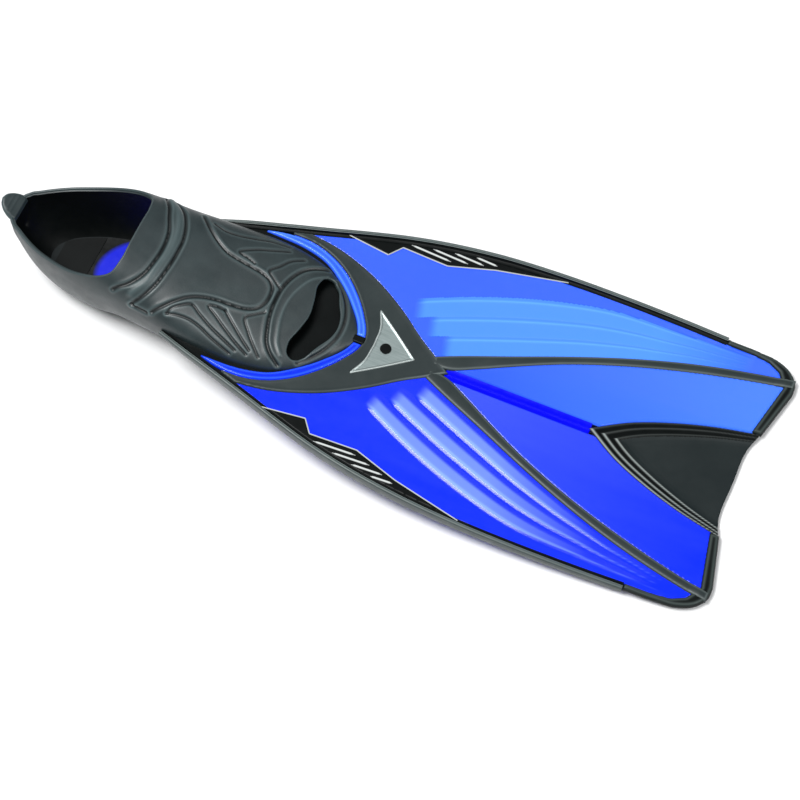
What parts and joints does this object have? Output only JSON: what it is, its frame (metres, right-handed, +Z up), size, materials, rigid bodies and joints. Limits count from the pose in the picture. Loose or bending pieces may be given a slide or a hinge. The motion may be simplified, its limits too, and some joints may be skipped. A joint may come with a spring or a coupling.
{
  "type": "swim fin",
  "caption": "Full-foot swim fin: closed rubber foot pocket with toe window, flexing plastic blade with side rails, soft channels and a centre flap.",
  "frame": {"origin": "middle of the fin's bounding box, on the surface it stands on", "axes": "+X from the heel to the tip of the blade, +Y to the wearer's left, +Z up with the fin standing on its heel pad and blade tip"},
  "size_m": [0.606, 0.2238, 0.0815],
  "materials": {
    "blue_blade": "glossy injection-moulded blade plastic, slightly translucent",
    "blue_ring": "glossy, same plastic as the blade",
    "blue_hinge": "thin flexible web, deeper blue",
    "rail_rubber": "smooth near-black elastomer with a satin shine",
    "insert_rubber": "near-black elastomer, glossy",
    "yoke_rubber": "dark grey elastomer, satin",
    "flap_rubber": "dark grey elastomer, satin, black bevels",
    "pocket_rubber": "matt greenish grey rubber, fine grain",
    "sole_rubber": "matt rubber, ribbed for grip",
    "footbed_plastic": "blue, satin",
    "insole_rubber": "matt soft rubber",
    "badge_metallic": "silver-grey, satin, with a bright rim",
    "inlay_dark": "gloss black stud head"
  },
  "bodies": {
    "foot": {"badge_inlay": "inlay_dark", "badge_plate": "badge_metallic", "collar": "pocket_rubber", "footbed": "footbed_plastic", "grip_bars": "sole_rubber", "heel_pad": "insole_rubber", "insert_ribs_left": "insert_rubber", "insert_ribs_right": "insert_rubber", "instep_band": "pocket_rubber", "nose_clip": "insert_rubber", "notch_insert_left": "insert_rubber", "notch_insert_right": "insert_rubber", "outer_panel_root_left": "blue_blade", "outer_panel_root_right": "blue_blade", "outsole": "sole_rubber", "rail_root_left": "rail_rubber", "rail_root_right": "rail_rubber", "side_web_left": "pocket_rubber", "side_web_right": "pocket_rubber", "toe_cap": "pocket_rubber", "toe_ring_left": "blue_ring", "toe_ring_right": "blue_ring", "vamp": "pocket_rubber", "window_rim": "pocket_rubber", "yoke": "yoke_rubber"},
    "blade": {"rail_left": "rail_rubber", "rail_right": "rail_rubber", "outer_panel_left": "blue_blade", "outer_panel_right": "blue_blade", "insert_tail_left": "insert_rubber", "insert_tail_right": "insert_rubber", "flex_channel_left": "yoke_rubber", "flex_channel_right": "yoke_rubber", "centre_panel_left": "blue_blade", "centre_panel_right": "blue_blade", "centre_hinge_web": "blue_hinge", "centre_flap": "flap_rubber", "tip_bumper_left": "rail_rubber", "tip_bumper_right": "rail_rubber"},
    "heel": {"heel_cup": "pocket_rubber"},
    "tab": {"pull_tab": "pocket_rubber"}
  },
  "joints": [
    {"name": "blade_flex", "type": "hinge", "parent": "foot", "child": "blade", "pos_m": [0.06382, 0, 0.02288], "axis": [0, 1, 0], "range_deg": [-30, 30], "stiffness_Nm_per_rad": 18, "springref_deg": -1.72},
    {"name": "heel_fold", "type": "hinge", "parent": "foot", "child": "heel", "pos_m": [-0.28111, 0, 0.01144], "axis": [0, -1, 0], "range_deg": [0, 50], "stiffness_Nm_per_rad": 2.5},
    {"name": "tab_flex", "type": "hinge", "parent": "heel", "child": "tab", "pos_m": [-0.28919, 0, 0.05546], "axis": [0, 1, 0], "range_deg": [-25, 40], "stiffness_Nm_per_rad": 0.15}
  ]
}
